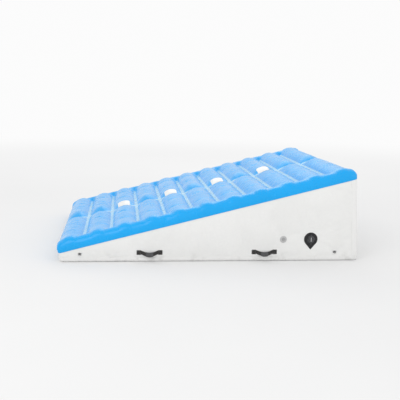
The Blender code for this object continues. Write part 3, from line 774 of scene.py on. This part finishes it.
def make_base():
    """The base panel, whose rounded outline ends where the walls' sheets come in under it."""
    outline = []
    for wall in WALL_TURNS:
        outline += [plan_place(wall, station, FOOT, FOOT) for station in wall_stations(wall)[:-1]]
    bm = bmesh.new()
    height = SHEET + GAP + FLOOR_CLEAR
    face = bm.faces.new([bm.verts.new((p.x, p.y, height)) for p in outline])
    face.normal_update()
    if face.normal.z > 0:
        face.normal_flip()
    mesh = finished(bm, "base")
    layer = mesh.uv_layers.new(name="flat")
    for loop, uv in zip(mesh.loops, layer.data):
        uv.uv = mesh.vertices[loop.vertex_index].co.xy
    skin(piece("base_sheet", mesh, BASE, stands_for=["base_panel"]), SHEET)


def make_base_tape():
    """One strip of tape all the way round, from under the wedge up to the walls."""
    tape = {"out": GAP + SHEET, "high": TAPE_TOP, "under": UNDER}
    strips = [wall_grid(wall, wall_stations(wall), 3, **tape) for wall in WALL_TURNS]
    mesh = joined_sheet("base tape", strips)
    bm = bmesh.new()
    bm.from_mesh(mesh)
    bmesh.ops.remove_doubles(bm, verts=bm.verts, dist=1e-5)
    bm.to_mesh(mesh)
    bm.free()
    obj = piece("base_seam_tape_strip", mesh, TAPE, stands_for=["base_seam_tape"])
    skin(obj, SHEET, bevel=CUT_EDGE)


def make_corner_tapes():
    """Tapes up the four rounded corners, over the joints between the walls."""
    corners = {
        "near_rear": ("near", "rear"),
        "far_rear": ("rear", "far"),
        "far_nose": ("far", "nose"),
        "near_nose": ("nose", "near"),
    }
    tape = {"out": SHEET + GAP, "low": TAPE_TOP + GAP, "drop": LAP + GAP}
    bend = [i / 5 for i in range(6)]
    for name, (before, after) in corners.items():
        rows = 40 if "rear" in name else 6
        reach = CORNER_TAPE - CORNER * math.pi / 8  # past the bend
        ends = [reach / wall_length(wall) for wall in (before, after)]
        strips = [
            wall_grid(before, [1 - ends[0]] + [1 + b for b in bend], rows, **tape),
            wall_grid(after, [b - 1 for b in bend] + [ends[1]], rows, **tape),
        ]
        cad_node = f"{name}_corner_tape"
        mesh = joined_sheet(name, strips)
        obj = piece(f"{cad_node}_strip", mesh, TAPE, stands_for=[cad_node])
        skin(obj, SHEET, bevel=CUT_EDGE)


# Parts on the side walls

def wall_frame(side, point):
    """A frame at a point: its X runs along the wall, its Y is up and its Z points out."""
    turn = Matrix.Rotation(math.pi, 4, "Z") if side > 0 else Matrix()
    return Matrix.Translation(point) @ turn @ Matrix.Rotation(math.pi / 2, 4, "X")


def on_wall(side, x, z):
    return wall_frame(side, Vector((x, side * SIDE, z)))


def arc(centre, radius, start, sweep, count):
    """Points along an arc, with both its ends. Angles are in degrees."""
    angles = [math.radians(start + sweep * i / count) for i in range(count + 1)]
    return [(centre[0] + radius * math.cos(a), centre[1] + radius * math.sin(a)) for a in angles]


def circle(radius, count=72, centre=(0, 0)):
    """A closed outline of count points."""
    return arc(centre, radius, 0, 360 - 360 / count, count - 1)


def rounded_box(half_x, half_y, radius, centre=(0, 0), steps=6):
    points = []
    for turn, (sx, sy) in enumerate(((1, 1), (-1, 1), (-1, -1), (1, -1))):
        middle = (centre[0] + sx * (half_x - radius), centre[1] + sy * (half_y - radius))
        points += arc(middle, radius, 90 * turn, 90, steps)
    return points


def placed(bm, name, matrix):
    """A piece's bmesh as a mesh in the row frame."""
    bmesh.ops.transform(bm, matrix=matrix, verts=bm.verts)
    bmesh.ops.recalc_face_normals(bm, faces=bm.faces)
    return finished(bm, name)


def slab(name, loops, low, high, matrix, bevel=0.0):
    """A flat outline with its holes, as a solid from low to high along its own Z."""
    curve = bpy.data.curves.new(name, "CURVE")
    curve.dimensions = "2D"
    curve.fill_mode = "BOTH"
    for loop in loops:
        spline = curve.splines.new("POLY")
        spline.points.add(len(loop) - 1)
        for point, (x, y) in zip(spline.points, loop):
            point.co = (x, y, 0, 1)
        spline.use_cyclic_u = True
    curve.extrude = (high - low) / 2
    obj = new_object(name, curve)
    bpy.context.view_layer.update()
    bm = bmesh.new()
    bm.from_mesh(evaluated_mesh(obj))
    bpy.data.objects.remove(obj)
    bmesh.ops.remove_doubles(bm, verts=bm.verts, dist=1e-6)
    bmesh.ops.translate(bm, verts=bm.verts, vec=(0, 0, (high + low) / 2))
    if bevel:
        sharp = [e for e in bm.edges if e.is_manifold and e.calc_face_angle(0) > math.radians(60)]
        bmesh.ops.bevel(bm, geom=sharp, offset=bevel, segments=2, affect="EDGES", profile=0.6)
    return placed(bm, name, matrix)


def bridge(bm, rings, closed):
    """Faces from each ring of vertices to the next. They close on the first ring, or end in two caps."""
    for first, second in zip(rings, rings[1:] + (rings[:1] if closed else [])):
        for k in range(len(first)):
            j = (k + 1) % len(first)
            corners = list(dict.fromkeys((first[k], first[j], second[j], second[k])))
            if len(corners) > 2:
                bm.faces.new(corners)
    if not closed:
        bm.faces.new(rings[0][::-1])
        bm.faces.new(rings[-1])


def turned(name, profile, matrix, steps=96):
    """A closed profile of (radius, height) turned round Z. Its points on the axis are one vertex each."""
    bm = bmesh.new()
    axis_heights = {i: height for i, (radius, height) in enumerate(profile) if radius < 1e-6}
    on_axis = {i: bm.verts.new((0, 0, height)) for i, height in axis_heights.items()}
    rings = []
    for angle in (2 * math.pi * k / steps for k in range(steps)):
        x, y = math.cos(angle), math.sin(angle)
        rings.append([
            on_axis.get(i) or bm.verts.new((radius * x, radius * y, height))
            for i, (radius, height) in enumerate(profile)
        ])
    bridge(bm, rings, True)
    return placed(bm, name, matrix)


def swept(name, points, section, matrix, closed=False):
    """A section of (across, up) pairs swept along a line of points."""
    bm = bmesh.new()
    count = len(points)
    rings = []
    for i, point in enumerate(points):
        ahead = points[(i + 1) % count] if closed or i + 1 < count else point
        behind = points[i - 1] if closed or i else point
        tangent = (ahead - behind).normalized()
        across = tangent.cross(Vector((0, 0, 1))).normalized()
        up = across.cross(tangent)
        rings.append([bm.verts.new(point + across * a + up * b) for a, b in section])
    bridge(bm, rings, closed)
    return placed(bm, name, matrix)


def merged(name, meshes):
    """One mesh of several, which are used up."""
    bm = bmesh.new()
    for mesh in meshes:
        bm.from_mesh(mesh)
        bpy.data.meshes.remove(mesh)
    return finished(bm, name)


def stitches(start, end, height):
    """A row of stitches between two points on a face at a height, as short bent threads."""
    start, end = Vector((*start, height)), Vector((*end, height))
    count = max(1, round((end - start).length / (STITCH + STITCH_GAP)))
    step = (end - start) / count
    lift = Vector((0, 0, THREAD_RADIUS * 0.8))
    threads = []
    for i in range(count):
        first, last = start + step * (i + 0.12), start + step * (i + 0.88)
        shoulder = (last - first) * 0.15
        points = [first - lift, first + shoulder + lift * 0.6, (first + last) / 2 + lift,
                  last - shoulder + lift * 0.6, last - lift]
        threads.append(swept("thread", points, circle(THREAD_RADIUS, 6), Matrix()))
    return threads


def sewn(name, rows, matrix):
    """All the rows of stitches of one seam, as one piece."""
    mesh = merged(name, [thread for row in rows for thread in stitches(*row)])
    mesh.transform(matrix)
    piece(name, mesh, THREAD)


def box_stitch(centre, half_x, half_y, height):
    """The rows of a sewn box with a cross in it."""
    turns = ((-1, -1), (1, -1), (1, 1), (-1, 1))
    corners = [(centre[0] + half_x * sx, centre[1] + half_y * sy) for sx, sy in turns]
    rows = [(corners[i], corners[(i + 1) % 4], height) for i in range(4)]
    return rows + [(corners[0], corners[2], height), (corners[1], corners[3], height)]


# Handles

def strap_place(across, down):
    """A point of the strap's middle surface. across is -1 to 1 between the tabs, down is 0 to 1."""
    hang = (1 - across**2) ** STRAP_ROUNDNESS
    out = STRAP_BOW * hang + STRAP_TIP * hang * (down - 0.5)
    return Vector((across * STRAP_SPAN / 2, -STRAP_SAG * hang - STRAP_WIDTH * down, out))


def make_strap_half(name, cad_node, at, end):
    """Half of the strap, from one sewn end to the middle."""

    def place_of(inwards, down):
        across = end * (1 - inwards)
        return at @ strap_place(across, down), (across * STRAP_SPAN / 2, STRAP_WIDTH * down)

    obj = piece(name, drawn_sheet(name, 30, 8, place_of), WEBBING, None, [cad_node])
    skin(obj, STRAP_THICKNESS, 0.0, 0.0005)
    apply_modifiers(obj)
    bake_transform(obj)


def make_sleeve(name, at, loop):
    """The soft grip round the middle of the strap, with moulded ribs and rounded ends."""
    columns, around = 46, 28
    ribs = 14
    squareness = 2 / 2.6  # the section is a flattened oval: flat faces with full round edges
    bm = bmesh.new()
    rings = []
    for i in range(columns + 1):
        u = -1 + 2 * i / columns
        across = u * GRIP_HALF / (STRAP_SPAN / 2)
        top, bottom = strap_place(across, 0), strap_place(across, 1)
        middle, span = (top + bottom) / 2, (top - bottom)
        end_round = math.sqrt(max(0.0, 1 - max(0.0, (abs(u) - 0.9) / 0.1) ** 2))
        rib = 1 + 0.055 * math.cos(ribs * math.pi * u) * (1 if abs(u) < 0.86 else 0)
        half_up = (span.length / 2 + 0.0022) * (0.86 + 0.14 * end_round)
        half_out = 0.0050 * (0.55 + 0.45 * end_round) * rib
        up = span.normalized()
        out = Vector((1, 0, 0)).cross(up).normalized()
        rings.append([
            bm.verts.new(middle + up * half_up * math.copysign(abs(ca) ** squareness, ca)
                         + out * half_out * math.copysign(abs(sa) ** squareness, sa))
            for ca, sa in circle(1, around)
        ])
    bridge(bm, rings, False)
    obj = piece(name, placed(bm, name, at), SLEEVE, loop)


def make_handle(side_name, place):
    """A handle's patch, its two sewn tabs, its strap and the grip round it."""
    side = SIDES[side_name]
    name = f"{side_name}_{place}_handle"
    hinge = Vector(JOINTS[f"{name}_lift"]["pos_m"])
    middle, half = box_middle(f"{name}_patch")
    outline = rounded_box(half.x, half.z, 0.016)
    mesh = slab(name, [outline], GAP, GAP + SHEET, on_wall(side, middle.x, middle.z), 0.0005)
    piece(f"{name}_patch_sheet", mesh, PATCH, stands_for=[f"{name}_patch"])
    tab_frame = on_wall(side, middle.x, hinge.z)
    tabs, rows = [], []
    for end in (-1, 1):
        centre = (end * TAB_MIDDLE, -STRAP_WIDTH / 2 - 0.001)
        outline = rounded_box(TAB_HALF, TAB_HALF_HEIGHT, 0.003, centre, 3)
        tabs.append(slab("tab", [outline], GAP + SHEET, TAB_RISE, tab_frame, 0.0008))
        rows += box_stitch(centre, TAB_HALF - 0.0035, TAB_HALF_HEIGHT - 0.0040, TAB_RISE)
    piece(f"{name}_tabs", merged("tabs", tabs), WEBBING)
    sewn(f"{name}_stitches", rows, tab_frame)
    at = wall_frame(side, hinge)
    for end, word in ((-1, "left"), (1, "right")):
        make_strap_half(f"{name}_strap_{word}", f"{name}_strap", at, end)
    make_sleeve(f"{name}_grip", at, f"{name}_loop")


# Anchor rings

def make_anchor(side_name, place):
    """A D-ring on a round patch, held by a sewn keeper."""
    side = SIDES[side_name]
    name = f"{side_name}_{place}_anchor"
    hinge = Vector(JOINTS[f"{name}_swing"]["pos_m"])
    middle, half = box_middle(f"{name}_patch")
    at = on_wall(side, middle.x, middle.z)
    face = GAP + SHEET
    disc = slab(name, [circle(half.x)], GAP, face, at, 0.0005)
    piece(f"{name}_disc", disc, PATCH, stands_for=[f"{name}_patch"])

    # The keeper is a strip folded round the ring's bar: up one leg, over the bar and down the other.
    up, out = hinge.z - middle.z, abs(hinge.y) - SIDE
    wire, leg, half_width = 0.002, 0.011, 0.009
    inner, outer = wire + 0.0003, wire + 0.0015
    foot = GAP + SHEET / 2
    side_view = [(-leg - outer, foot), (-leg - outer, face + 0.0012), (-outer - 0.002, face + 0.0014)]
    side_view += arc((0, out), outer, 180, -180, 14) + [(outer, foot), (inner, foot)]
    side_view += arc((0, out), inner, 0, 180, 14) + [(-inner, foot)]
    drawn = Matrix(((0, 0, 1, 0), (1, 0, 0, up), (0, 1, 0, 0), (0, 0, 0, 1)))
    keeper = slab("keeper", [side_view], -half_width, half_width, at @ drawn, 0.0002)
    piece(f"{name}_keeper", keeper, KEEPER)
    rows = [((-0.0075, y), (0.0075, y), face + 0.0013) for y in (up - 0.009, up - 0.013)]
    sewn(f"{name}_stitches", rows, at)

    ring_low, ring_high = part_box(f"{name}_ring")
    bow = (ring_high.x - ring_low.x) / 2 - wire
    drop = hinge.z - ring_low.z - wire
    shoulder, corner = 0.003, 0.002
    points = [(-bow + corner, 0), (bow - corner, 0)]
    points += arc((bow - corner, -corner), corner, 90, -90, 4)[1:]
    points += [(x, y * (drop - shoulder) / bow - shoulder) for x, y in arc((0, 0), bow, 0, -180, 36)]
    points += arc((-bow + corner, -corner), corner, 180, -90, 4)[:-1]
    line = [Vector((x, y, 0)) for x, y in points]
    mesh = swept(name, line, circle(wire, 16), wall_frame(side, hinge), closed=True)
    piece(f"{name}_wire", mesh, STEEL, f"{name}_d_ring", [f"{name}_ring"])


# Valves: heights are outwards from the wall's outer face

def rounded_profile(points, radius, steps=3):
    """Rounds the corners of a closed profile, so that a turned part catches the light on its edges."""
    made = []
    count = len(points)
    for i, point in enumerate(points):
        here = Vector(point)
        before, after = Vector(points[i - 1]), Vector(points[(i + 1) % count])
        to_before, to_after = before - here, after - here
        reach = min(radius, to_before.length / 2.2, to_after.length / 2.2)
        if here.x < 1e-6 or reach < 1e-5:
            made.append(tuple(here))
            continue
        first, last = here + to_before.normalized() * reach, here + to_after.normalized() * reach
        for k in range(steps + 1):
            t = k / steps
            made.append(tuple(first * (1 - t) ** 2 + here * 2 * t * (1 - t) + last * t * t))
    return made


def thread_rings(radius, top, bottom, pitch, depth):
    """A screw thread's side view as a saw-toothed profile."""
    count = int((top - bottom) / pitch)
    points = []
    for i in range(count):
        z = top - pitch * i
        points += [(radius, z), (radius - depth, z - pitch / 2)]
    return points


def make_spring(cad_node, at, radius, fixed, moving):
    """A coil spring with flat ends."""
    wire, turns, steps = 0.0004, 6, 24
    out = math.copysign(1, moving - fixed)
    first, last = fixed + out * (wire + GAP), moving - out * (wire + GAP)
    dead = out * 2.2 * wire  # the rise of the closed turn at each end
    line = []
    for i in range(turns * steps + 1):
        turn = i / steps
        share = min(1, max(0, (turn - 1) / (turns - 2)))
        closed_turns = min(turn, 1) + max(0, turn - turns + 1)
        height = first + dead * closed_turns + (last - first - 2 * dead) * share
        angle = 2 * math.pi * turn
        line.append(Vector((radius * math.cos(angle), radius * math.sin(angle), height)))
    mesh = swept(cad_node, line, circle(wire, 8), at)
    obj = piece(f"{cad_node}_coil", mesh, SPRING, None, [cad_node])
    start, stop = (at @ Vector((0, 0, height)) for height in (first + dead, last - dead))
    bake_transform(obj)
    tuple(start)
    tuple(stop)


def turned_copies(name, outline, low, high, at, count, start=0.0, bevel=0.0):
    """Equal small slabs set round a fitting's axis, as one mesh."""
    turns = [at @ Matrix.Rotation(start + 2 * math.pi * k / count, 4, "Z") for k in range(count)]
    return merged(name, [slab(name, [outline], low, high, turn, bevel) for turn in turns])


def make_inflation_valve():
    middle, _ = box_middle("valve_body")
    at = on_wall(-1, middle.x, middle.z)
    tube, mouth, rim = 0.0234, 0.0190, 0.0095
    patch_radius, tail, tip = 0.055, 0.088, 0.004
    half_angle = math.degrees(math.acos(patch_radius / tail))
    # A teardrop: a round patch whose straight sides run down to a small round tip.
    outline = arc((0, 0), patch_radius, half_angle - 90, 360 - 2 * half_angle, 72)
    outline += arc((0, -tail + 0.0085), tip, 245 - half_angle, 2 * half_angle + 50, 6)
    mesh = slab("patch", [outline, circle(tube + 2 * GAP)], GAP, GAP + SHEET, at, 0.0005)
    piece("valve_patch_sheet", mesh, BLACK, stands_for=["valve_patch"])

    flange_out, flange, flange_in = 0.0055, 0.031, 2 * GAP + SHEET
    guide_step, seat = -0.0237, -0.036
    throat, hole = mouth - 0.0015, 0.012
    profile = [(tube, rim), (tube, flange_out), (flange, flange_out), (flange, flange_in)]
    profile += [(tube, flange_in), (tube, -0.0100)]
    profile += [*thread_rings(tube, -0.0105, seat + 0.002, 0.0025, 0.0009), (tube, seat)]
    profile += [(hole, seat), (hole, seat + 0.003), (throat, seat + 0.003), (throat, guide_step)]
    profile += [(mouth, guide_step), (mouth, rim - 0.0016), (mouth + 0.0012, rim)]
    mesh = turned("body", rounded_profile(profile, 0.0006), at)
    piece("valve_body_turned", mesh, DARK, stands_for=["valve_body"])
    rib = rounded_box(0.0010, 0.0006, 0.0004, (flange - 0.0024, 0), 2)
    ribs = turned_copies("ribs", rib, flange_out - 0.0002, flange_out + 0.0004, at, 36)
    piece("valve_flange_ribs", ribs, DARK)

    ring, tab, tab_top, cut_off = 0.0275, 0.006, 0.0346, 0.001
    edge = math.degrees(math.asin(tab / ring))
    outline = arc((0, 0), ring, 90 + edge, 360 - 2 * edge, 72)
    outline += [(tab, tab_top - cut_off), (tab - cut_off, tab_top), (-tab + cut_off, tab_top)]
    outline += [(-tab, tab_top - cut_off)]
    mesh = slab("tether", [outline, circle(tube + GAP)], 0.0058, 0.0082, at, 0.0004)
    piece("valve_tether_ring", mesh, DARK, stands_for=["valve_cap_tether"], smooth=18)
    make_cap(at)
    make_spring("valve_spring", at, radius=0.0055, fixed=-0.0204, moving=-0.0040)


def make_cap(at):
    """The lid: domed, with a finger bar, a hinge tab, a pull tab with grip bars and a seal under it."""
    face, radius, top = 0.0098, 0.027, 0.0118
    dome = [(0, 0.0128), (0.0150, 0.0124), (0.0175, 0.0138), (0.0205, 0.0140)]
    dome += [(radius - 0.0022, 0.0124), (radius, 0.0110), (radius, face), (0, face)]
    lid = turned("lid", rounded_profile(dome, 0.0007), at)
    hinge_y, root = 0.0365, radius - 0.004
    outline = rounded_box(0.006, (hinge_y - root) / 2, 0.0008, (0, (hinge_y + root) / 2))
    tab = slab("tab", [outline], face, top, at, 0.0004)
    across = Matrix.Translation((0, hinge_y, 0.0090)) @ Matrix.Rotation(math.pi / 2, 4, "Y")
    knuckle = slab("knuckle", [circle(0.0016, 24)], -0.006, 0.006, at @ across, 0.0002)
    pull_root, pull_tip, pull_half = -0.020, -0.0395, 0.0045
    outline = [(-0.010, pull_root), (-pull_half, pull_tip), *arc((0, pull_tip), pull_half, 180, 180, 10)]
    outline += [(pull_half, pull_tip), (0.010, pull_root)]
    pull = slab("pull", [outline], face + GAP, top + 0.0001, at, 0.0005)
    outlines = [rounded_box(0.0030, 0.0004, 0.0003, (0, -0.0325 - 0.0022 * k), 2) for k in range(4)]
    bars = [slab("grip", [outline], top, top + 0.0007, at, 0.0001) for outline in outlines]
    finger = slab("finger", [rounded_box(0.0027, 0.0168, 0.0024)], top, top + 0.0054, at, 0.0010)
    mesh = merged("cap", [lid, tab, knuckle, pull, *bars])
    piece("valve_cap_lid", mesh, DARK, "valve_lid", ["valve_cap"])
    # The finger bar's light grey is a painted highlight.
    piece("valve_cap_finger_bar", finger, BAR_HIGHLIGHT_GREY, "valve_lid")
    seal_low, seal_top = face - 0.0040, face - GAP
    seal = [(0.0178, seal_top), (0.0178, seal_low + 0.0006), (0.0172, seal_low), (0.0162, seal_low)]
    mesh = turned("seal", rounded_profile([*seal, (0.0156, seal_top)], 0.0004), at)
    piece("valve_cap_seal", mesh, RUBBER, "valve_lid")


def make_relief_valve():
    middle, _ = box_middle("relief_body")
    at = on_wall(-1, middle.x, middle.z)
    flange, out, tube, bore, seat = 0.028, 0.0043, 0.0176, 0.0138, -0.024
    recess, ledge = 0.0150, -0.0007  # the grille sits in this recess, on its ledge
    profile = [(0.0185, out), (0.0245, out - 0.0003), (flange, out - 0.0028), (flange, GAP), (tube, GAP)]
    profile += [(tube, -0.0085), *thread_rings(tube, -0.0090, seat + 0.002, 0.0022, 0.0008), (tube, seat)]
    profile += [(0.010, seat), (0.010, seat + 0.004), (bore, seat + 0.004), (bore, ledge), (recess, ledge)]
    profile += [(recess, out - 0.0008), (recess + 0.0008, out)]
    mesh = turned("relief", rounded_profile(profile, 0.0006), at)
    piece("relief_body_turned", mesh, GREY, stands_for=["relief_body"])
    holes = [circle(0.0024, 24)] + [circle(0.0028, 24, centre) for centre in circle(0.0092, 6)]
    cover = slab("cover", [circle(recess - GAP), *holes], ledge + GAP, 0.0030, at, 0.0004)
    piece("relief_cover_grille", cover, GREY, stands_for=["relief_cover"], smooth=18)
    lug = rounded_box(0.0022, 0.0011, 0.0006, (0.0212, 0), 3)
    lugs = turned_copies("lugs", lug, out - 0.0004, out + 0.0009, at, 4, math.pi / 4, 0.0003)
    piece("relief_key_lugs", lugs, GREY)
    make_spring("relief_spring", at, radius=0.0050, fixed=-0.0004, moving=-0.0170)


# CAD nodes that stay: what is inside the wedge and inside the valves

def dress(name, material, bevel=0.0):
    """Gives a CAD node its material, smooth round parts and, if asked, rounded edges."""
    obj = frame["nodes"][name]
    obj.data.materials.clear()
    obj.data.materials.append(material)
    obj.data.shade_smooth()
    obj.data.set_sharp_from_angle(angle=math.radians(40))
    if bevel:
        add_bevel(obj, bevel)


def dress_inner_parts():
    for number in range(1, PILLOWS):
        dress(f"tie_web_{number:02d}", WEBS)
    dress("centre_web", WEBS)
    for name in ("valve_clamp_nut", "valve_guide", "valve_plunger", "relief_clamp_nut", "relief_poppet"):
        dress(name, DARK, 0.0004)
    dress("valve_seal", RUBBER, 0.0003)


# Floor, light and camera

def make_stage():
    """A pale floor under a white world with three softboxes."""
    bpy.ops.mesh.primitive_circle_add(vertices=96, radius=60, fill_type="NGON", location=(0, 0, 0))
    floor = bpy.context.object
    floor.name = "floor"
    material, tree, principled = shader("pale floor")
    place = object_place(tree)
    tone = mix_colour(tree, noise(tree, place, 0.6, 3), (0.80, 0.80, 0.80, 1), (0.83, 0.83, 0.83, 1))
    # Far from the object the floor turns into the white of the backdrop, so no horizon shows.
    distance = node(tree, "VectorMath", {0: place}, operation="LENGTH").outputs["Value"]
    far = ramp(tree, distance, 2.5, 12.0)
    tone = mix_colour(tree, far, tone, (0, 0, 0, 1))
    connect(tree, principled, base_color=tone, roughness=0.75, specular_ior_level=0.0)
    glow = product(tree, far, WORLD_LIGHT)
    connect(tree, principled, emission_color=(1, 1, 1, 1), emission_strength=glow)
    floor.data.materials.append(material)

    world = bpy.data.worlds.new("studio")
    bpy.context.scene.world = world
    world.use_nodes = True
    background = world.node_tree.nodes["Background"]
    background.inputs["Color"].default_value = (1.0, 1.0, 1.0, 1)
    background.inputs["Strength"].default_value = WORLD_LIGHT
    add_softbox("key", (-3.2, -4.6, 4.6), 3.0, 55)
    add_softbox("fill", (4.2, -5.2, 2.6), 3.0, 14)
    add_softbox("back", (0.5, 5.5, 4.8), 4.0, 40)


def add_softbox(name, place, size, power):
    data = bpy.data.lights.new(name, "AREA")
    data.shape = "SQUARE"
    data.size = size
    data.energy = power
    light = new_object(name, data)
    light.location = place
    aim = Vector((0, 0, 0.3)) - light.location
    light.rotation_euler = aim.to_track_quat("-Z", "Y").to_euler()


def make_camera():
    data = bpy.data.cameras.new("camera")
    data.lens = 60
    data.shift_x = 0.06
    camera = new_object("camera", data)
    camera.location = (-0.71, -6.06, 1.39)
    aim = Vector((-0.20, 0, 0.33)) - camera.location
    roll = Matrix.Rotation(math.radians(CAMERA_ROLL), 3, "Z")
    camera.rotation_euler = (aim.to_track_quat("-Z", "Y").to_matrix() @ roll).to_euler()
    bpy.context.scene.camera = camera
    bpy.context.scene.view_settings.view_transform = "Standard"


make_camera()
make_stage()
make_walls()
deck_sheet = make_deck()
make_deck_patches(deck_sheet)
make_base()
make_base_tape()
make_corner_tapes()
for side_word in SIDES:
    for place_word in PLACES:
        make_handle(side_word, place_word)
        make_anchor(side_word, place_word)
make_inflation_valve()
make_relief_valve()
dress_inner_parts()
